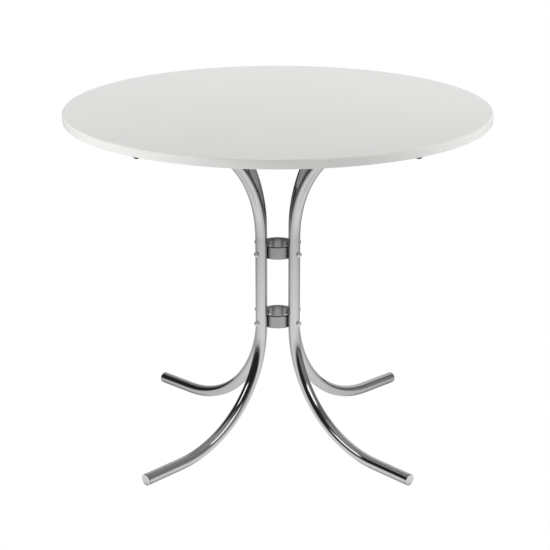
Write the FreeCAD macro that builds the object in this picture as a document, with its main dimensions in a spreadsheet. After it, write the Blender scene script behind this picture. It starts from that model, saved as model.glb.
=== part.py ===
import FreeCAD, Part
import math
import os
import Sketcher

# A round cafe table. Four bent steel tubes stand back to back round two ring collars. Each tube is
# an arm, a post and a foot in one piece, and lies in a vertical plane through the table's axis.
# A bolt through each post is nutted inside each collar. Screws up through the arms hold the board.
# The origin is on the floor under the centre of the top. +Z is up and -Y is the front.

# Driving dimensions, in millimetres and degrees.
SIZES = {
    # the whole table
    "table_height": 745.0,
    "top_diameter": 900.0,
    "contact_gap": 0.05,
    # the board: chipboard between two laminates, with a plastic band round its edge
    "board_thickness": 18.0,
    "laminate_thickness": 0.8,
    "backing_thickness": 0.6,
    "band_thickness": 4.5,
    "band_upper_round": 4.0,
    "band_lower_round": 2.0,
    # the bent tubes
    "tube_diameter": 25.0,
    "tube_wall": 1.5,
    "bend_radius": 247.5,
    "reach": 390.0,
    "foot_slope": 1.6,
    "clearance_hole": 6.6,
    # the ring collars
    "collar_diameter": 76.0,
    "collar_wall": 4.0,
    "collar_length": 28.8,
    "collar_outer_round": 2.4,
    "collar_inner_round": 1.5,
    "lower_bolt_height": 273.5,
    "upper_bolt_height": 431.5,
    # the caps pressed into the tube ends, with a shadow line between each flange and its tube
    "cap_flange": 3.0,
    "cap_round": 1.1,
    "cap_seam_width": 0.9,
    "cap_seam_depth": 0.7,
    "cap_plug_length": 16.0,
    "cap_plug_diameter": 20.4,
    "cap_plug_bore": 16.4,
    "cap_rib_diameter": 21.9,
    "cap_rib_width": 1.2,
    "cap_rib_pitch": 4.4,
    # M6 fasteners: the collar bolts have a high smooth dome, the arm screws a low one with a cross recess
    "shank_diameter": 6.0,
    "tip_break": 0.8,
    "bolt_head_diameter": 11.5,
    "bolt_head_height": 7.0,
    "bolt_head_round": 5.2,
    "screw_head_diameter": 12.0,
    "screw_head_height": 4.6,
    "screw_head_round": 4.4,
    "recess_span": 5.0,
    "recess_width": 1.1,
    "recess_depth": 2.4,
    "bolt_length": 40.0,
    "screw_length": 35.0,
    "washer_diameter": 12.0,
    "washer_thickness": 1.6,
    "washer_hole": 6.4,
    "nut_width": 10.0,
    "nut_height": 5.0,
    "nut_corner_cut": 0.75,
    "thread_bore": 6.1,
    # the threaded inserts in the underside of the board, and where the arms' screws go
    "insert_diameter": 9.4,
    "insert_length": 12.0,
    "insert_groove_depth": 0.6,
    "insert_pitch": 2.4,
    "pilot_diameter": 9.6,
    "pilot_depth": 13.0,
    "inner_screw_reach": 308.0,
    "screw_spacing": 56.0,
}

# Where each tube stands, in degrees round the table's axis from +X.
AZIMUTHS = {
    "rear_right": 45.0,
    "rear_left": 135.0,
    "front_left": 225.0,
    "front_right": 315.0,
}
FIRST_AZIMUTH = 45.0
CAP_RIBS = 3
INSERT_GROOVES = 4
TOLERANCE = 1e-4

doc = FreeCAD.newDocument("CafeTable")
sheet = doc.addObject("Spreadsheet::Sheet", "Sizes")
for row, (alias, number) in enumerate(SIZES.items(), start=1):
    sheet.set("A%d" % row, alias)
    sheet.set("B%d" % row, "%g" % number)
    sheet.setAlias("B%d" % row, alias)
doc.recompute()

# Lengths that several sub-parts share, as expressions over the sheet.
TUBE_RADIUS = "(Sizes.tube_diameter / 2)"
TUBE_BORE_RADIUS = "(Sizes.tube_diameter / 2 - Sizes.tube_wall)"
COLLAR_RADIUS = "(Sizes.collar_diameter / 2)"
COLLAR_BORE_RADIUS = "(Sizes.collar_diameter / 2 - Sizes.collar_wall)"
CORE_RADIUS = "(Sizes.top_diameter / 2 - Sizes.band_thickness)"
BOARD_UNDERSIDE = "(Sizes.table_height - Sizes.board_thickness)"
CORE_BOTTOM = "(Sizes.table_height - Sizes.board_thickness + Sizes.backing_thickness)"
CORE_THICKNESS = "(Sizes.board_thickness - Sizes.laminate_thickness - Sizes.backing_thickness)"
POST_REACH = "(" + COLLAR_RADIUS + " + " + TUBE_RADIUS + " + Sizes.contact_gap)"
ARM_HEIGHT = "(" + BOARD_UNDERSIDE + " - Sizes.contact_gap - " + TUBE_RADIUS + ")"
ARM_END_REACH = "(Sizes.reach - Sizes.cap_flange)"
FOOT_END_REACH = "(Sizes.reach - Sizes.cap_flange * cos(Sizes.foot_slope * 1deg))"
# A foot cap touches the floor where the rounding of its rim starts.
FOOT_END_HEIGHT = (
    "((Sizes.tube_diameter / 2 - Sizes.cap_round) * cos(Sizes.foot_slope * 1deg) + Sizes.cap_round"
    " + (Sizes.cap_flange - Sizes.cap_round) * sin(Sizes.foot_slope * 1deg))"
)
BOLT_SEAT = "(" + POST_REACH + " + " + TUBE_RADIUS + " + Sizes.contact_gap)"
SCREW_SEAT = "(" + ARM_HEIGHT + " - " + TUBE_RADIUS + " - Sizes.contact_gap)"
# A flat washer in a hollow collar touches it only at two sides of its own rim.
WASHER_SEAT = (
    "(sqrt(" + COLLAR_BORE_RADIUS + "^2 - (Sizes.washer_diameter / 2)^2) - Sizes.contact_gap)"
)
NUT_SEAT = "(" + WASHER_SEAT + " - Sizes.washer_thickness)"
BOLT_HEIGHTS = {
    "lower": "Sizes.lower_bolt_height",
    "upper": "Sizes.upper_bolt_height",
}
SCREW_REACHES = ["(Sizes.inner_screw_reach + %d * Sizes.screw_spacing)" % index for index in range(2)]


def value(expression):
    """The number that an expression over the sheet gives."""
    result = sheet.evalExpression(expression)
    return getattr(result, "Value", result)


# ---- bodies, sketches and features ----

def new_body(label):
    body = doc.addObject("PartDesign::Body", label)
    body.Label = label
    return body


def origin_feature(body, role):
    return next(feature for feature in body.Origin.OriginFeatures if feature.Role == role)


def new_sketch(body, name, plane, offset="0", shift="0"):
    """A sketch on a plane of the body's own, moved along the plane's normal and along its own X."""
    sketch = body.newObject("Sketcher::SketchObject", name)
    sketch.AttachmentSupport = [(origin_feature(body, plane), "")]
    sketch.MapMode = "FlatFace"
    sketch.setExpression("AttachmentOffset.Base.z", offset)
    sketch.setExpression("AttachmentOffset.Base.x", shift)
    return sketch


def bind(sketch, constraint, expression):
    sketch.setExpression("Constraints[%d]" % sketch.addConstraint(constraint), expression)


def place_point(sketch, geometry, point, across, along):
    """Dimensions one point of the sketch from the sketch's origin."""
    bind(sketch, Sketcher.Constraint("DistanceX", -1, 1, geometry, point, value(across)), across)
    bind(sketch, Sketcher.Constraint("DistanceY", -1, 1, geometry, point, value(along)), along)


def add_circle(sketch, radius, across="0", along="0"):
    centre = FreeCAD.Vector(value(across), value(along), 0)
    circle = sketch.addGeometry(Part.Circle(centre, FreeCAD.Vector(0, 0, 1), value(radius)))
    place_point(sketch, circle, 3, across, along)
    bind(sketch, Sketcher.Constraint("Radius", circle, value(radius)), radius)


def add_outline(sketch, corners):
    """A closed outline of straight edges. Each corner is an (across, along) pair of expressions."""
    points = [FreeCAD.Vector(value(across), value(along), 0) for across, along in corners]
    first = sketch.GeometryCount
    count = len(points)
    for index in range(count):
        sketch.addGeometry(Part.LineSegment(points[index], points[(index + 1) % count]))
    for index in range(count):
        following = first + (index + 1) % count
        sketch.addConstraint(Sketcher.Constraint("Coincident", first + index, 2, following, 1))
    for index, (across, along) in enumerate(corners):
        place_point(sketch, first + index, 1, across, along)


def pad(body, name, sketch, length):
    feature = body.newObject("PartDesign::Pad", name)
    feature.Profile = sketch
    feature.setExpression("Length", length)
    doc.recompute()
    return feature


def check_cut(body, feature, volume_before):
    """A cut that points away from the solid takes nothing off and shows no error."""
    if feature.Shape.Volume >= volume_before:
        raise RuntimeError("%s in %s cuts nothing" % (feature.Label, body.Label))


def pocket(body, name, sketch, length, along_normal=False):
    volume_before = body.Shape.Volume
    feature = body.newObject("PartDesign::Pocket", name)
    feature.Profile = sketch
    feature.setExpression("Length", length)
    feature.Reversed = along_normal
    doc.recompute()
    check_cut(body, feature, volume_before)
    return feature


def revolve(body, name, kind, sketch, axis):
    """A Revolution or a Groove of a sketch about one of its own axes, H_Axis or V_Axis."""
    feature = body.newObject("PartDesign::" + kind, name)
    feature.Profile = sketch
    feature.ReferenceAxis = (sketch, [axis])
    feature.Angle = 360
    doc.recompute()
    return feature


def round_edges(body, name, base, radius, wanted):
    """A fillet on those edges of a feature for which wanted(edge) holds."""
    edges = ["Edge%d" % number for number, edge in enumerate(base.Shape.Edges, start=1) if wanted(edge)]
    fillet = body.newObject("PartDesign::Fillet", name)
    fillet.Base = (base, edges)
    fillet.setExpression("Radius", radius)
    doc.recompute()
    return fillet


def is_circle(edge, radius):
    return isinstance(edge.Curve, Part.Circle) and abs(edge.Curve.Radius - radius) < TOLERANCE


def repeat_quarters(body, feature=None):
    """Repeats one feature, or else the whole body, at each quarter turn about the body's Z axis."""
    pattern = body.newObject("PartDesign::PolarPattern", "Quarters")
    if feature is None:
        body.AllowCompound = True
        pattern.TransformMode = "Whole shape"
    else:
        pattern.Originals = [feature]
    pattern.Axis = (origin_feature(body, "Z_Axis"), [""])
    pattern.Angle = 360
    pattern.Occurrences = len(AZIMUTHS)
    body.Tip = pattern
    doc.recompute()


def turned(azimuth, height="0"):
    """A placement turned about the table's axis, and raised."""
    rise = FreeCAD.Vector(0, 0, value(height))
    return FreeCAD.Placement(rise, FreeCAD.Rotation(FreeCAD.Vector(0, 0, 1), azimuth))


# ---- the board ----

def make_top_core():
    """The chipboard disc, with a blind pilot hole for each threaded insert."""
    body = new_body("top_core")
    disc = new_sketch(body, "Disc", "XY_Plane", offset=CORE_BOTTOM)
    add_circle(disc, CORE_RADIUS)
    pad(body, "Board", disc, CORE_THICKNESS)
    pilots = new_sketch(body, "Pilots", "XY_Plane", offset=CORE_BOTTOM)
    for reach in SCREW_REACHES:
        add_circle(pilots, "Sizes.pilot_diameter / 2", across=reach)
    depth = "Sizes.pilot_depth - Sizes.backing_thickness"
    repeat_quarters(body, pocket(body, "PilotHoles", pilots, depth, along_normal=True))
    body.Placement = turned(FIRST_AZIMUTH)


def make_top_laminate():
    """The white wearing surface."""
    body = new_body("top_laminate")
    disc = new_sketch(body, "Disc", "XY_Plane", offset="Sizes.table_height - Sizes.laminate_thickness")
    add_circle(disc, CORE_RADIUS)
    pad(body, "Sheet", disc, "Sizes.laminate_thickness")


def make_backing_laminate():
    """The balancing sheet on the underside, drilled through with the board."""
    body = new_body("backing_laminate")
    disc = new_sketch(body, "Disc", "XY_Plane", offset=BOARD_UNDERSIDE)
    add_circle(disc, CORE_RADIUS)
    pad(body, "Sheet", disc, "Sizes.backing_thickness")
    holes = new_sketch(body, "Holes", "XY_Plane", offset=BOARD_UNDERSIDE)
    for reach in SCREW_REACHES:
        add_circle(holes, "Sizes.pilot_diameter / 2", across=reach)
    drilled = pocket(body, "PilotHoles", holes, "Sizes.backing_thickness", along_normal=True)
    repeat_quarters(body, drilled)
    body.Placement = turned(FIRST_AZIMUTH)


def make_edge_band():
    """The plastic band round the board, with a full rounding above and a smaller one below."""
    body = new_body("edge_band")
    ring = new_sketch(body, "Ring", "XY_Plane", offset=BOARD_UNDERSIDE)
    add_circle(ring, "Sizes.top_diameter / 2")
    add_circle(ring, CORE_RADIUS)
    band = pad(body, "Band", ring, "Sizes.board_thickness")
    outer = value("Sizes.top_diameter / 2")
    middle = value(BOARD_UNDERSIDE + " + Sizes.board_thickness / 2")
    upper = round_edges(
        body,
        "UpperRounded",
        band,
        "Sizes.band_upper_round",
        lambda edge: is_circle(edge, outer) and edge.CenterOfMass.z > middle,
    )
    round_edges(
        body,
        "LowerRounded",
        upper,
        "Sizes.band_lower_round",
        lambda edge: is_circle(edge, outer) and edge.CenterOfMass.z < middle,
    )


# ---- the bent tubes ----

def add_leg_path(body):
    """The tube's centreline: arm, upper bend, post, lower bend and foot, all in the XZ plane."""
    path = new_sketch(body, "Path", "XZ_Plane")
    bend = value("Sizes.bend_radius")
    slope = math.radians(value("Sizes.foot_slope"))
    post_x = value(POST_REACH)
    arm_z = value(ARM_HEIGHT)
    arm_end = FreeCAD.Vector(value(ARM_END_REACH), arm_z, 0)
    foot_end = FreeCAD.Vector(value(FOOT_END_REACH), value(FOOT_END_HEIGHT), 0)

    # The foot rises inward by its slope until the bend takes over, and that sets the bend's height.
    foot_start_x = post_x + bend - bend * math.sin(slope)
    foot_start_z = foot_end.y + (foot_end.x - foot_start_x) * math.tan(slope)
    foot_start = FreeCAD.Vector(foot_start_x, foot_start_z, 0)
    lower_centre = FreeCAD.Vector(post_x + bend, foot_start_z + bend * math.cos(slope), 0)
    upper_centre = FreeCAD.Vector(post_x + bend, arm_z - bend, 0)
    above = FreeCAD.Vector(0, bend, 0)
    inward = FreeCAD.Vector(-bend, 0, 0)
    normal = FreeCAD.Vector(0, 0, 1)
    upper_circle = Part.Circle(upper_centre, normal, bend)
    lower_circle = Part.Circle(lower_centre, normal, bend)

    arm = path.addGeometry(Part.LineSegment(arm_end, upper_centre + above))
    upper_bend = path.addGeometry(Part.ArcOfCircle(upper_circle, math.pi / 2, math.pi))
    post = path.addGeometry(Part.LineSegment(upper_centre + inward, lower_centre + inward))
    lower_bend = path.addGeometry(Part.ArcOfCircle(lower_circle, math.pi, 1.5 * math.pi - slope))
    foot = path.addGeometry(Part.LineSegment(foot_start, foot_end))

    path.addConstraint(Sketcher.Constraint("Tangent", arm, 2, upper_bend, 1))
    path.addConstraint(Sketcher.Constraint("Tangent", upper_bend, 2, post, 1))
    path.addConstraint(Sketcher.Constraint("Tangent", post, 2, lower_bend, 1))
    path.addConstraint(Sketcher.Constraint("Tangent", lower_bend, 2, foot, 1))
    path.addConstraint(Sketcher.Constraint("Horizontal", arm))
    path.addConstraint(Sketcher.Constraint("Vertical", post))
    bind(path, Sketcher.Constraint("Radius", upper_bend, bend), "Sizes.bend_radius")
    bind(path, Sketcher.Constraint("Radius", lower_bend, bend), "Sizes.bend_radius")
    bind(path, Sketcher.Constraint("DistanceX", -1, 1, post, 1, post_x), POST_REACH)
    bind(path, Sketcher.Constraint("Angle", foot, -slope), "-Sizes.foot_slope * 1deg")
    place_point(path, arm, 1, ARM_END_REACH, ARM_HEIGHT)
    place_point(path, foot, 2, FOOT_END_REACH, FOOT_END_HEIGHT)
    return path


def make_leg(label, azimuth):
    """One bent tube, drilled through for its two collar bolts and for its arm's screws."""
    body = new_body(label)
    path = add_leg_path(body)
    end = new_sketch(body, "TubeEnd", "YZ_Plane", offset=ARM_END_REACH)
    add_circle(end, TUBE_RADIUS, along=ARM_HEIGHT)
    add_circle(end, TUBE_BORE_RADIUS, along=ARM_HEIGHT)
    tube = body.newObject("PartDesign::AdditivePipe", "Tube")
    tube.Profile = end
    tube.Spine = (path, [])
    doc.recompute()
    bolts = new_sketch(body, "BoltHoles", "YZ_Plane")
    for height in BOLT_HEIGHTS.values():
        add_circle(bolts, "Sizes.clearance_hole / 2", along=height)
    pocket(body, "BoltDrilling", bolts, "Sizes.collar_diameter", along_normal=True)
    screws = new_sketch(body, "ScrewHoles", "XY_Plane", offset=BOARD_UNDERSIDE)
    for reach in SCREW_REACHES:
        add_circle(screws, "Sizes.clearance_hole / 2", across=reach)
    pocket(body, "ScrewDrilling", screws, "1.5 * Sizes.tube_diameter")
    body.Placement = turned(azimuth)


# ---- the collars ----

def make_collar(label, height):
    """A short ring of tube, drilled square to each post."""
    body = new_body(label)
    ring = new_sketch(body, "Ring", "XY_Plane", offset=height + " - Sizes.collar_length / 2")
    add_circle(ring, COLLAR_RADIUS)
    add_circle(ring, COLLAR_BORE_RADIUS)
    wall = pad(body, "Wall", ring, "Sizes.collar_length")
    outer = value(COLLAR_RADIUS)
    inner = value(COLLAR_BORE_RADIUS)
    rounded = round_edges(
        body,
        "OuterRounded",
        wall,
        "Sizes.collar_outer_round",
        lambda edge: is_circle(edge, outer),
    )
    round_edges(
        body,
        "InnerRounded",
        rounded,
        "Sizes.collar_inner_round",
        lambda edge: is_circle(edge, inner),
    )
    hole = new_sketch(body, "BoltHole", "YZ_Plane")
    add_circle(hole, "Sizes.clearance_hole / 2", along=height)
    repeat_quarters(body, pocket(body, "Drilled", hole, "Sizes.collar_diameter", along_normal=True))
    body.Placement = turned(FIRST_AZIMUTH)


# ---- the end caps ----

def make_cap(label, placement):
    """A flange flush with the tube, and a ribbed plug inside it. The flange faces the body's +X."""
    body = new_body(label)
    plug = "Sizes.cap_plug_diameter / 2"
    plug_bore = "Sizes.cap_plug_bore / 2"
    rib = "Sizes.cap_rib_diameter / 2"
    seam = TUBE_RADIUS + " - Sizes.cap_seam_depth"
    corners = [
        ("0", plug),
        ("0", seam),
        ("Sizes.cap_seam_width", seam),
        ("Sizes.cap_seam_width + Sizes.cap_seam_depth", TUBE_RADIUS),
        ("Sizes.cap_flange", TUBE_RADIUS),
        ("Sizes.cap_flange", "0"),
        ("0", "0"),
        ("0", plug_bore),
        ("-Sizes.cap_plug_length", plug_bore),
        ("-Sizes.cap_plug_length", plug),
    ]
    for index in range(CAP_RIBS, 0, -1):
        near = "-%d * Sizes.cap_rib_pitch" % index
        far = near + " - Sizes.cap_rib_width"
        corners += [(far, plug), (far, rib), (near, rib), (near, plug)]
    outline = new_sketch(body, "Outline", "XZ_Plane")
    add_outline(outline, corners)
    moulded = revolve(body, "Moulded", "Revolution", outline, "H_Axis")
    rim = value(TUBE_RADIUS)
    face = value("Sizes.cap_flange")
    round_edges(
        body,
        "Rounded",
        moulded,
        "Sizes.cap_round",
        lambda edge: is_circle(edge, rim) and edge.CenterOfMass.x > face - TOLERANCE,
    )
    body.Placement = placement


def make_foot_cap(label, azimuth):
    """A cap on the end of a foot, in line with the foot's slope."""
    end = FreeCAD.Vector(value(FOOT_END_REACH), 0, value(FOOT_END_HEIGHT))
    slope = FreeCAD.Rotation(FreeCAD.Vector(0, 1, 0), value("Sizes.foot_slope"))
    make_cap(label, turned(azimuth).multiply(FreeCAD.Placement(end, slope)))


def make_arm_cap(label, azimuth):
    """A cap on the end of an arm, under the rim of the board."""
    end = FreeCAD.Vector(value(ARM_END_REACH), 0, value(ARM_HEIGHT))
    make_cap(label, turned(azimuth).multiply(FreeCAD.Placement(end, FreeCAD.Rotation())))


# ---- the fasteners, with plain shanks and bores in place of threads ----

def screw_outline(kind):
    """Half of a bolt's or a screw's section, as (radius, distance) pairs measured from under its head."""
    shank = "Sizes.shank_diameter / 2"
    length = "Sizes.%s_length" % kind
    head = "Sizes.%s_head_diameter / 2" % kind
    height = "Sizes.%s_head_height" % kind
    return [
        ("0", "-" + length),
        (shank + " - Sizes.tip_break", "-" + length),
        (shank, "-" + length + " + Sizes.tip_break"),
        (shank, "0"),
        (head, "0"),
        (head, height),
        ("0", height),
    ]


def add_cross(sketch):
    """The outline of a cross recess, about the sketch's origin."""
    span = "Sizes.recess_span / 2"
    width = "Sizes.recess_width / 2"
    add_outline(sketch, [
        (span, "-" + width), (span, width), (width, width),
        (width, span), ("-" + width, span), ("-" + width, width),
        ("-" + span, width), ("-" + span, "-" + width), ("-" + width, "-" + width),
        ("-" + width, "-" + span), (width, "-" + span), (width, "-" + width),
    ])


def make_collar_bolts(label, height):
    """A bolt through each post into the collar, with a smooth domed head on the outside of the post."""
    body = new_body(label)
    outline = new_sketch(body, "Outline", "XZ_Plane")
    add_outline(outline, [
        (BOLT_SEAT + " + " + distance, radius)
        for radius, distance in screw_outline("bolt")
    ])
    blank = revolve(body, "Blank", "Revolution", outline, "H_Axis")
    head = value("Sizes.bolt_head_diameter / 2")
    crown = BOLT_SEAT + " + Sizes.bolt_head_height"
    crown_x = value(crown)
    round_edges(
        body,
        "Rounded",
        blank,
        "Sizes.bolt_head_round",
        lambda edge: is_circle(edge, head) and edge.CenterOfMass.x > crown_x - TOLERANCE,
    )
    repeat_quarters(body)
    body.Placement = turned(FIRST_AZIMUTH, height)


def make_collar_washers(label, height):
    """A flat washer under each nut, inside the collar."""
    body = new_body(label)
    ring = new_sketch(body, "Ring", "YZ_Plane", offset=NUT_SEAT)
    add_circle(ring, "Sizes.washer_diameter / 2")
    add_circle(ring, "Sizes.washer_hole / 2")
    pad(body, "Washer", ring, "Sizes.washer_thickness")
    repeat_quarters(body)
    body.Placement = turned(FIRST_AZIMUTH, height)


def make_collar_nuts(label, height):
    """A hexagon nut on each bolt, inside the collar, with its corners turned off at both faces."""
    body = new_body(label)
    half_flat = "Sizes.nut_width / 2"
    corner = "Sizes.nut_width / sqrt(3)"
    inner_face = "(" + NUT_SEAT + " - Sizes.nut_height)"
    hexagon = new_sketch(body, "Hexagon", "YZ_Plane", offset=inner_face)
    add_outline(hexagon, [
        (corner, "0"),
        (corner + " / 2", half_flat),
        ("-" + corner + " / 2", half_flat),
        ("-" + corner, "0"),
        ("-" + corner + " / 2", "-" + half_flat),
        (corner + " / 2", "-" + half_flat),
    ])
    add_circle(hexagon, "Sizes.thread_bore / 2")
    blank = pad(body, "Blank", hexagon, "Sizes.nut_height")
    corners = new_sketch(body, "Corners", "XZ_Plane")
    low = corner + " - Sizes.nut_corner_cut"
    high = corner + " + Sizes.nut_corner_cut"
    slant = "2 * Sizes.nut_corner_cut * tan(30deg)"
    add_outline(corners, [(NUT_SEAT, low), (NUT_SEAT, high), (NUT_SEAT + " - " + slant, high)])
    add_outline(corners, [(inner_face, low), (inner_face, high), (inner_face + " + " + slant, high)])
    volume_before = blank.Shape.Volume
    check_cut(body, revolve(body, "CornersTurned", "Groove", corners, "H_Axis"), volume_before)
    repeat_quarters(body)
    body.Placement = turned(FIRST_AZIMUTH, height)


def make_arm_screws():
    """The screws up through the arms into the board, with their heads below the arms."""
    body = new_body("arm_screws")
    head = value("Sizes.screw_head_diameter / 2")
    crown = "(" + SCREW_SEAT + " - Sizes.screw_head_height)"
    crown_z = value(crown)
    for reach in SCREW_REACHES:
        centre_x = value(reach)
        outline = new_sketch(body, "Outline", "XZ_Plane", shift=reach)
        add_outline(outline, [
            (radius, SCREW_SEAT + " - (" + distance + ")")
            for radius, distance in screw_outline("screw")
        ])
        body.AllowCompound = True
        blank = revolve(body, "Blank", "Revolution", outline, "V_Axis")
        round_edges(
            body,
            "Rounded",
            blank,
            "Sizes.screw_head_round",
            lambda edge: is_circle(edge, head)
            and edge.CenterOfMass.z < crown_z + TOLERANCE
            and abs(edge.CenterOfMass.x - centre_x) < TOLERANCE,
        )
        recess = new_sketch(body, "Recess", "XY_Plane", offset=crown, shift=reach)
        add_cross(recess)
        pocket(body, "CrossRecess", recess, "Sizes.recess_depth", along_normal=True)
    repeat_quarters(body)
    body.Placement = turned(FIRST_AZIMUTH)


def make_threaded_inserts():
    """Sleeves set in the underside of the board, with ridges that grip the chipboard."""
    body = new_body("threaded_inserts")
    body.AllowCompound = True
    bore = "Sizes.thread_bore / 2"
    ridge = "Sizes.insert_diameter / 2"
    valley = ridge + " - Sizes.insert_groove_depth"
    bottom = CORE_BOTTOM
    corners = [(bore, bottom), (ridge, bottom)]
    for index in range(INSERT_GROOVES):
        start = bottom + " + %d.5 * Sizes.insert_pitch" % index
        middle = start + " + 0.25 * Sizes.insert_pitch"
        end = start + " + 0.5 * Sizes.insert_pitch"
        corners += [(ridge, start), (valley, middle), (ridge, end)]
    top = bottom + " + Sizes.insert_length"
    corners += [(ridge, top), (bore, top)]
    for reach in SCREW_REACHES:
        outline = new_sketch(body, "Outline", "XZ_Plane", shift=reach)
        add_outline(outline, corners)
        revolve(body, "Sleeve", "Revolution", outline, "V_Axis")
    repeat_quarters(body)
    body.Placement = turned(FIRST_AZIMUTH)


# ---- the whole table ----

def make_table():
    make_top_core()
    make_top_laminate()
    make_backing_laminate()
    make_edge_band()
    for corner, azimuth in AZIMUTHS.items():
        make_leg("leg_" + corner, azimuth)
        make_foot_cap("foot_cap_" + corner, azimuth)
        make_arm_cap("arm_cap_" + corner, azimuth)
    for level, height in BOLT_HEIGHTS.items():
        make_collar("collar_" + level, height)
        make_collar_bolts("collar_bolts_" + level, height)
        make_collar_washers("collar_washers_" + level, height)
        make_collar_nuts("collar_nuts_" + level, height)
    make_arm_screws()
    make_threaded_inserts()


def check_document():
    """Stops before anything is written if an object failed or a sub-part's shape is not sound."""
    for item in doc.Objects:
        if "Invalid" in item.State or "Error" in item.State:
            raise RuntimeError("%s failed: %s" % (item.Label, item.State))
        if item.isDerivedFrom("PartDesign::Body"):
            if item.Shape.isNull() or not item.Shape.isValid() or not item.Shape.Solids:
                raise RuntimeError("%s has no sound shape" % item.Label)


def write_parts():
    os.makedirs("parts", exist_ok=True)
    for item in doc.Objects:
        if item.isDerivedFrom("PartDesign::Body"):
            item.Shape.exportStep(os.path.join("parts", item.Label + ".step"))
            print("%-26s %2d solids %12.1f mm3" % (item.Label, len(item.Shape.Solids), item.Shape.Volume))


make_table()
doc.recompute()
check_document()
write_parts()
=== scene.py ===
"""Bistro table: the looks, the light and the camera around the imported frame.

Metres, +Z up, the front of the table faces -Y. The frame gives every size and place.
"""

import math

import bpy
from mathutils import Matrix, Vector


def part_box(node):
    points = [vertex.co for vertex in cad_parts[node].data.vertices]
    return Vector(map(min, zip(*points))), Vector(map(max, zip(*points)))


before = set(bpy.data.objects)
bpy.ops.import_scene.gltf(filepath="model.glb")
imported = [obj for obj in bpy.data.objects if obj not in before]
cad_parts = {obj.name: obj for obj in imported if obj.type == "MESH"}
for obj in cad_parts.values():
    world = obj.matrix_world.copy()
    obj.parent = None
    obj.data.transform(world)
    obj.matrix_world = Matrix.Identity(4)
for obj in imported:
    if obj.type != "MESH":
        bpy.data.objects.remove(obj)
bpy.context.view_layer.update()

WHITE_POINT = 1.0  # scene value that the Standard view shows as plain white
FLOOR_LEVEL = -0.0004
PAPER_LEVEL = -0.0001  # a little above the floor, so that the floor does not shade it
FLOOR_HALF = 400.0  # half the width of both sheets

NOISE_RANGE = (0.3, 0.7)  # most values of a noise texture lie between these
CLOSED, OPEN = 0.35, 0.95  # share of free sky in a seam, and on a face that nothing stands over, between which the painted seam shade fades out
SKY_SAMPLES = 8
PLASTIC_IOR = 1.5
PAPER_IOR = 1.46


# ---------------------------------------------------------------- node helpers


class Graph:
    """Adds nodes to one tree and links them. An input is a number, a tuple or another node's output."""

    def __init__(self, tree):
        self.tree = tree
        tree.nodes.clear()

    def add(self, kind, inputs=None, **settings):
        node = self.tree.nodes.new(kind)
        for name, setting in settings.items():
            setattr(node, name, setting)
        for key, source in (inputs or {}).items():
            self.feed(node.inputs[key], source)
        return node

    def feed(self, socket, source):
        if isinstance(source, bpy.types.NodeSocket):
            self.tree.links.new(source, socket)
        else:
            socket.default_value = source

    def math(self, operation, *values):
        node = self.add("ShaderNodeMath", dict(enumerate(values)), operation=operation)
        return node.outputs[0]

    def ramp(self, value, low, high, start, end, shape="SMOOTHSTEP"):
        """Smooth step: start below low, end above high."""
        inputs = {"Value": value, "From Min": low, "From Max": high, "To Min": start, "To Max": end}
        return self.add("ShaderNodeMapRange", inputs, interpolation_type=shape).outputs[0]

    def straight_ramp(self, value, low, high, start, end):
        """The same step with a straight slope."""
        return self.ramp(value, low, high, start, end, shape="LINEAR")

    def uneven(self, noise, start, end):
        """Number that follows a noise texture from start to end."""
        return self.ramp(noise, *NOISE_RANGE, start, end)

    def blend(self, weight, first, second):
        """Number between first and second."""
        node = self.add("ShaderNodeMix", {0: weight, 2: first, 3: second}, data_type="FLOAT")
        return node.outputs[0]

    def tint(self, weight, first, second):
        """Colour between first and second."""
        node = self.add("ShaderNodeMix", {0: weight, 6: first, 7: second}, data_type="RGBA")
        return node.outputs[2]

    def position(self):
        return self.add("ShaderNodeTexCoord").outputs["Object"]

    def stretched(self, vector, scale):
        node = self.add("ShaderNodeMapping", {"Vector": vector, "Scale": scale})
        return node.outputs[0]

    def noise(self, vector, scale, detail=2.0, roughness=0.5):
        inputs = {"Vector": vector, "Scale": scale, "Detail": detail, "Roughness": roughness}
        return self.add("ShaderNodeTexNoise", inputs).outputs[0]

    def cells(self, vector, scale, output="Distance"):
        node = self.add("ShaderNodeTexVoronoi", {"Vector": vector, "Scale": scale})
        return node.outputs[output]

    def free_sky(self, reach):
        """Share of the sky that nothing within reach hides."""
        node = self.add("ShaderNodeAmbientOcclusion", {"Distance": reach}, samples=SKY_SAMPLES)
        return node.outputs["AO"]

    def painted_seam_shade(self, reach, darkest):
        """Painted shade: 1 on open faces, down to the darkest share in seams and corners, where less of the
        sky reaches.
        """
        return self.ramp(self.free_sky(reach), CLOSED, OPEN, darkest, 1.0)

    def length(self, vector):
        return self.add("ShaderNodeVectorMath", {0: vector}, operation="LENGTH").outputs["Value"]

    def distance_from(self, middle):
        offset = self.add("ShaderNodeVectorMath", {0: self.position(), 1: middle}, operation="SUBTRACT")
        return self.length(offset.outputs[0])

    def axis(self, vector, letter):
        return self.add("ShaderNodeSeparateXYZ", {0: vector}).outputs[letter]

    def scaled(self, colour, share):
        """Colour multiplied by a number."""
        node = self.add("ShaderNodeVectorMath", {0: colour, "Scale": share}, operation="SCALE")
        return node.outputs[0]

    def bump(self, height, depth, strength=1.0):
        inputs = {"Height": height, "Distance": depth, "Strength": strength}
        return self.add("ShaderNodeBump", inputs).outputs[0]


def grey(level, warmth=0.0):
    """Linear grey colour with a share of its blue taken away, or added where warmth is below zero."""
    return (level, level, level * (1 - warmth), 1.0)


def new_material(name):
    material = bpy.data.materials.new(name)
    material.use_nodes = True
    return material, Graph(material.node_tree)


def principled(name, build):
    """Material with one Principled shader. build(graph) returns its socket values."""
    material, graph = new_material(name)
    shader = graph.add("ShaderNodeBsdfPrincipled", build(graph))
    graph.add("ShaderNodeOutputMaterial", {"Surface": shader.outputs[0]})
    return material


# ---------------------------------------------------------------- materials


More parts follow.
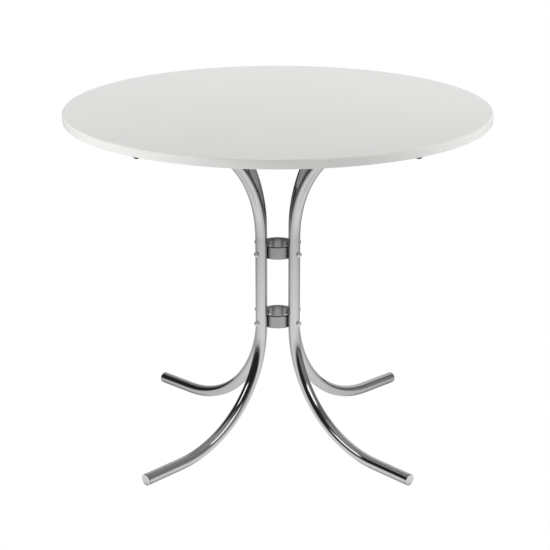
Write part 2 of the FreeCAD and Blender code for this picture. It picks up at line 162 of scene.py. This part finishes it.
def white_laminate(g):
    """Melamine-faced top: satin, with a fine even texture and a barely uneven white."""
    place = g.position()
    pores = g.noise(place, scale=900.0, detail=3.0, roughness=0.6)
    clouds = g.noise(place, scale=4.0)
    return {
        "Base Color": g.tint(clouds, grey(0.78, 0.02), grey(0.83, 0.016)),
        "Roughness": g.uneven(pores, 0.38, 0.48),
        "IOR": PLASTIC_IOR,
        "Normal": g.bump(pores, depth=0.00006, strength=0.5),
    }


def backing_sheet(g):
    """Balancing sheet under the board: matt off-white paper with a faint print of the chips."""
    place = g.position()
    chips = g.cells(g.stretched(place, (1.0, 1.6, 1.0)), scale=160.0)
    fibres = g.noise(place, scale=500.0, detail=3.0)
    return {
        "Base Color": g.tint(chips, grey(0.52, 0.02), grey(0.58, 0.02)),
        "Roughness": g.uneven(fibres, 0.5, 0.65),
        "IOR": PAPER_IOR,
        "Normal": g.bump(chips, depth=0.00008, strength=0.6),
    }


def white_edging(g):
    """Extruded plastic edge band: faint lines that run round the board."""
    place = g.position()
    lines = g.noise(g.stretched(place, (3.0, 3.0, 900.0)), scale=1.0, detail=3.0)
    return {
        "Base Color": g.tint(lines, grey(0.78, 0.024), grey(0.82, 0.024)),
        "Roughness": g.uneven(lines, 0.30, 0.40),
        "IOR": PLASTIC_IOR,
        "Normal": g.bump(lines, depth=0.00004, strength=0.5),
    }


CHIP_SCALE = 220.0
DARK_CHIP = (0.50, 0.33, 0.18, 1.0)
PALE_CHIP = (0.72, 0.55, 0.36, 1.0)


def chipboard(g):
    """Pressed wood chips in the middle of the board."""
    place = g.stretched(g.position(), (1.0, 1.0, 3.0))
    chips = g.cells(place, CHIP_SCALE, "Color")
    gaps = g.cells(place, CHIP_SCALE)
    return {
        "Base Color": g.tint(chips, DARK_CHIP, PALE_CHIP),
        "Roughness": 0.85,
        "Normal": g.bump(gaps, depth=0.0006),
    }


def chrome_tube(g):
    """Bright chromium plate on drawn tube: almost a mirror, with a trace of polishing."""
    place = g.position()
    haze = g.noise(place, scale=60.0, detail=3.0)
    grain = g.noise(place, scale=330.0)
    ripple = g.noise(place, scale=25.0, detail=1.0)
    return {
        "Base Color": g.tint(g.blend(0.5, haze, grain), grey(0.56), grey(0.70)),
        "Metallic": 1.0,
        "Roughness": g.uneven(haze, 0.05, 0.09),
        "Normal": g.bump(ripple, depth=0.00004, strength=0.4),
    }


def plated_cap(g):
    """Chrome plate over moulded plastic: less even than the plate on the steel."""
    place = g.position()
    flow = g.noise(place, scale=120.0, detail=3.0)
    plate = g.tint(flow, grey(0.62), grey(0.68))
    return {
        # painted shade: the plate colour darkens almost to black in seams and corners
        "Base Color": g.scaled(plate, g.painted_seam_shade(reach=0.004, darkest=0.05)),
        "Metallic": 1.0,
        "Roughness": g.uneven(flow, 0.09, 0.15),
        "Normal": g.bump(flow, depth=0.00005, strength=0.5),
    }


COLLAR_LOW, COLLAR_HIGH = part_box("collar_upper")
COLLAR_SHADED_EDGE = 0.0014  # width of the outer part of a ring's end that gets painted shade
COLLAR_LIP_RADIUS = (COLLAR_HIGH.x - COLLAR_LOW.x) / 2 - COLLAR_SHADED_EDGE  # where the inner lip with its painted highlight stops
COLLAR_LIP_FADE = 0.001
COLLAR_END_TURN = (0.1, 0.5)  # how far the surface faces up, from the straight side to the rounded end, where the painted end highlight and shade fade in
# Base colour shares: painted shade in the bore, a little painted light on the outer side, a painted
# highlight on the inner lip of the ends and painted shade on their outer edge.
BORE_PAINTED_SHADE, SIDE_PAINTED_LIGHT = 0.95, 1.03
LIP_PAINTED_HIGHLIGHT, EDGE_PAINTED_SHADE = 2.5, 0.5


def chrome_collar(g):
    """The same plate on the rings: rolling marks outside, a painted highlight on the inner lip, painted
    shade on the outer edge, in the bore and in seams.
    """
    place = g.position()
    rolled = g.noise(g.stretched(place, (6.0, 6.0, 700.0)), scale=1.0, detail=3.0)
    radius = g.length(g.stretched(place, (1.0, 1.0, 0.0)))
    outside = g.ramp(radius, COLLAR_LIP_RADIUS - COLLAR_LIP_FADE, COLLAR_LIP_RADIUS, 0.0, 1.0)
    facing = g.add("ShaderNodeNewGeometry").outputs["Normal"]
    end = g.ramp(g.axis(facing, "Z"), *COLLAR_END_TURN, 0.0, 1.0)
    side_painted_light_and_shade = g.blend(outside, BORE_PAINTED_SHADE, SIDE_PAINTED_LIGHT)
    end_painted_highlight_and_shade = g.blend(outside, LIP_PAINTED_HIGHLIGHT, EDGE_PAINTED_SHADE)
    # painted shade: the plate colour darkens in seams and corners
    plate = g.scaled(g.tint(rolled, grey(0.33), grey(0.39)), g.painted_seam_shade(reach=0.01, darkest=0.3))
    return {
        # painted highlight on the inner lip of the upward-facing ends, painted shade on their outer edge
        # and in the bore
        "Base Color": g.scaled(plate, g.blend(end, side_painted_light_and_shade, end_painted_highlight_and_shade)),
        "Metallic": 1.0,
        "Roughness": g.blend(outside, 0.22, g.uneven(rolled, 0.07, 0.14)),
        "Normal": g.bump(rolled, depth=0.00003, strength=0.4),
    }


def bolt_steel(g):
    """Satin nickel on the bolt and screw heads."""
    place = g.position()
    marks = g.noise(place, scale=700.0, detail=4.0)
    plate = g.tint(marks, grey(0.78), grey(0.86))
    return {
        # painted shade: the plate colour darkens in seams and corners round the heads
        "Base Color": g.scaled(plate, g.painted_seam_shade(reach=0.003, darkest=0.3)),
        "Metallic": 0.9,
        "Roughness": g.uneven(marks, 0.26, 0.36),
        "Normal": g.bump(marks, depth=0.00003, strength=0.5),
    }


SPANGLE_RANGE = (0.1, 0.7)  # most distances inside a spangle lie between these


def zinc_steel(g):
    """Zinc plate: duller and mottled, a little blue."""
    place = g.position()
    spangle = g.cells(place, scale=900.0)
    return {
        "Base Color": g.tint(spangle, grey(0.42, -0.06), grey(0.58, -0.04)),
        "Metallic": 1.0,
        "Roughness": g.ramp(spangle, *SPANGLE_RANGE, 0.28, 0.45),
        "Normal": g.bump(spangle, depth=0.00004, strength=0.5),
    }


def moulded(low, high):
    """Moulded plastic with an eroded texture, between two greys."""

    def build(g):
        place = g.position()
        texture = g.noise(place, scale=1500.0, detail=3.0, roughness=0.6)
        clouds = g.noise(place, scale=40.0)
        return {
            "Base Color": g.tint(clouds, grey(low), grey(high)),
            "Roughness": g.uneven(texture, 0.38, 0.55),
            "IOR": PLASTIC_IOR,
            "Normal": g.bump(texture, depth=0.00006, strength=0.7),
        }

    return build


FINISHES = {
    "white_laminate": white_laminate,
    "backing_sheet": backing_sheet,
    "white_edging": white_edging,
    "chipboard": chipboard,
    "chrome_tube": chrome_tube,
    "chrome_collar": chrome_collar,
    "bolt_steel": bolt_steel,
    "zinc_steel": zinc_steel,
    "plated_cap": plated_cap,
    "black_cap": moulded(low=0.012, high=0.02),
}


def finish_nodes():
    """Gives each frame node the finish of its material slot."""
    finishes = {slot: principled(slot + "_finish", build) for slot, build in FINISHES.items()}
    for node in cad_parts.values():
        for slot in node.material_slots:
            slot.material = finishes[slot.material.name.split(".")[0]]


# ---------------------------------------------------------------- studio

# The room by direction, in degrees: azimuth 0 is the camera's side, + is its right.
# Each zone: azimuth of its middle, half width, elevation of its middle, half height, soft edge, level.
ROOM_ZONES = {
    "right wall": (74, 42, 13, 26, 32, 0.264),
    "right rear corner": (122, 16, 15, 40, 14, 0.176),
    "left rear wall": (-157, 20, 20, 38, 18, 0.304),
    "rear wall": (162, 26, 15, 36, 14, 0.656),
    "dark side": (-104, 32, 17, 38, 8, 0.024),
    "dark front": (-22, 50, 15, 40, 8, 0.024),
    "left softbox": (-62, 15, 39, 10, 4, 1.52),
    "right softbox": (38, 22, 40, 10, 4, 1.52),
}
CEILING = 0.16


def room_level(g):
    """What the table sees of the room. A later zone covers the ones before it."""
    direction = g.add("ShaderNodeTexCoord").outputs["Generated"]
    axes = g.add("ShaderNodeSeparateXYZ", {0: direction}).outputs
    azimuth = g.math("ARCTAN2", axes["X"], g.math("MULTIPLY", axes["Y"], -1.0))
    elevation = g.math("ARCSINE", axes["Z"])
    level = CEILING
    for turn, half_width, rise, half_height, soft, zone_level in ROOM_ZONES.values():
        across = g.math("WRAP", g.math("SUBTRACT", azimuth, math.radians(turn)), math.pi, -math.pi)
        upward = g.math("SUBTRACT", elevation, math.radians(rise))
        inside = []
        for offset, half in ((across, half_width), (upward, half_height)):
            near, far = math.radians(half - soft / 2), math.radians(half + soft / 2)
            inside.append(g.ramp(g.math("ABSOLUTE", offset), near, far, 1.0, 0.0))
        level = g.blend(g.math("MULTIPLY", *inside), level, zone_level)
    return level


def make_room():
    world = bpy.data.worlds.new("studio_room")
    world.use_nodes = True
    g = Graph(world.node_tree)
    seen = g.add("ShaderNodeLightPath").outputs["Is Camera Ray"]
    level = g.blend(seen, room_level(g), WHITE_POINT)
    shader = g.add("ShaderNodeBackground", {"Color": grey(1.0), "Strength": level})
    g.add("ShaderNodeOutputWorld", {"Surface": shader.outputs[0]})
    bpy.context.scene.world = world


def flat_sheet(name, half, level):
    """Square level sheet, facing up."""
    mesh = bpy.data.meshes.new(name)
    corners = [(x * half, y * half, level) for x, y in ((-1, -1), (1, -1), (1, 1), (-1, 1))]
    mesh.from_pydata(corners, [], [(0, 1, 2, 3)])
    sheet = bpy.data.objects.new(name, mesh)
    bpy.context.collection.objects.link(sheet)
    return sheet


def one_sided(g, emission):
    """The sheet glows upward and is clear from below."""
    back = g.add("ShaderNodeNewGeometry").outputs["Backfacing"]
    clear = g.add("ShaderNodeBsdfTransparent").outputs[0]
    mixed = g.add("ShaderNodeMixShader", {0: back, 1: emission, 2: clear})
    g.add("ShaderNodeOutputMaterial", {"Surface": mixed.outputs[0]})


def make_floor():
    """Pale floor, as white as the sweep in a catalogue picture."""
    floor = flat_sheet("floor", FLOOR_HALF, FLOOR_LEVEL)
    floor.visible_glossy = False
    floor.visible_diffuse = False
    material, g = new_material("floor_white")
    one_sided(g, g.add("ShaderNodeEmission", {"Strength": WHITE_POINT}).outputs[0])
    floor.data.materials.append(material)


PAPER_MIDDLE = (0.05, -0.45, 0.0)  # where the paper on the floor is brightest
PAPER_FADE = (0.2, 3.0)  # distances between which it darkens
PAPER_NEAR, PAPER_FAR = 1.03, 0.12
SHADE_MIDDLE = (0.0, -0.42, 0.0)  # middle of the board's own soft shade on the paper
SHADE_FADE = (0.05, 0.45)  # distances between which the shade ends
SHADE_DARKEST = 0.72
REAR_FADE = (-0.15, 0.35)  # places along Y between which a painted shadow of the board darkens the paper toward the rear
REAR_DARKEST = 0.68
CONTACT_REACH = 0.015  # how near a tube has to be to paint its contact shadow on the paper


def paper_level(g):
    """What the chrome sees of the floor: bright paper near the table, and a dark room beyond it, with
    painted shadows of the board and of the tubes.
    """
    spread = g.straight_ramp(g.distance_from(PAPER_MIDDLE), *PAPER_FADE, PAPER_NEAR, PAPER_FAR)
    shade = g.ramp(g.distance_from(SHADE_MIDDLE), *SHADE_FADE, SHADE_DARKEST, 1.0)
    # painted shadow of the board toward the rear
    rear = g.ramp(g.axis(g.position(), "Y"), *REAR_FADE, 1.0, REAR_DARKEST)
    # painted contact shadow under the tubes
    contact_painted_shadow = g.free_sky(CONTACT_REACH)
    return g.math("MULTIPLY", g.math("MULTIPLY", spread, shade), g.math("MULTIPLY", rear, contact_painted_shadow))


def make_floor_light():
    # Glowing sheet that reflections and bounce light see in place of the lit floor, with painted shadows.
    sheet = flat_sheet("floor_light", FLOOR_HALF, PAPER_LEVEL)
    sheet.visible_camera = False
    sheet.visible_shadow = False
    material, g = new_material("floor_paper")
    one_sided(g, g.add("ShaderNodeEmission", {"Strength": paper_level(g)}).outputs[0])
    sheet.data.materials.append(material)


# Each light: azimuth and elevation in degrees, distance and width in metres, power in watts.
SOFT_LIGHTS = {
    "left_softbox": (-57, 13, 2.7, 1.5, 45.0),
    "right_softbox": (77, 13, 2.7, 1.5, 40.6),
    "rear_softbox": (180, 47, 2.2, 1.2, 14.6),
    "left_high_softbox": (-95, 48, 1.7, 0.7, 4.8),
    "right_high_softbox": (95, 48, 1.7, 0.7, 4.4),
}
LIGHT_AIM = Vector((0.0, 0.0, 0.5))


def make_lights():
    for name, (azimuth, elevation, distance, width, power) in SOFT_LIGHTS.items():
        lamp = bpy.data.lights.new(name, "AREA")
        lamp.shape = "DISK"
        lamp.size = width
        lamp.energy = power
        light = bpy.data.objects.new(name, lamp)
        turn, rise = math.radians(azimuth), math.radians(elevation)
        outward = math.cos(rise)
        toward = Vector((math.sin(turn) * outward, -math.cos(turn) * outward, math.sin(rise)))
        light.location = LIGHT_AIM + toward * distance
        light.rotation_euler = toward.to_track_quat("Z", "Y").to_euler()
        light.visible_glossy = False
        light.visible_camera = False
        bpy.context.collection.objects.link(light)


# ---------------------------------------------------------------- camera

SENSOR_MM = 36.0
LENS_MM = 97.2
SIDE_SHIFT = -0.005  # share of the picture's width: the table stands a little right of the middle
CAMERA_PLACE = (0.0, -3.068, 1.423)
CAMERA_DOWN = math.radians(18.94)
CLIP_NEAR, CLIP_FAR = 0.05, 2000.0


def make_camera():
    lens = bpy.data.cameras.new("camera")
    lens.sensor_width = SENSOR_MM
    lens.lens = LENS_MM
    lens.shift_x = SIDE_SHIFT
    lens.clip_start = CLIP_NEAR
    lens.clip_end = CLIP_FAR
    camera = bpy.data.objects.new("camera", lens)
    camera.location = CAMERA_PLACE
    camera.rotation_euler = (math.pi / 2 - CAMERA_DOWN, 0.0, 0.0)
    bpy.context.collection.objects.link(camera)
    bpy.context.scene.camera = camera


bpy.context.scene.view_settings.view_transform = "Standard"
finish_nodes()
make_room()
make_floor()
make_floor_light()
make_lights()
make_camera()
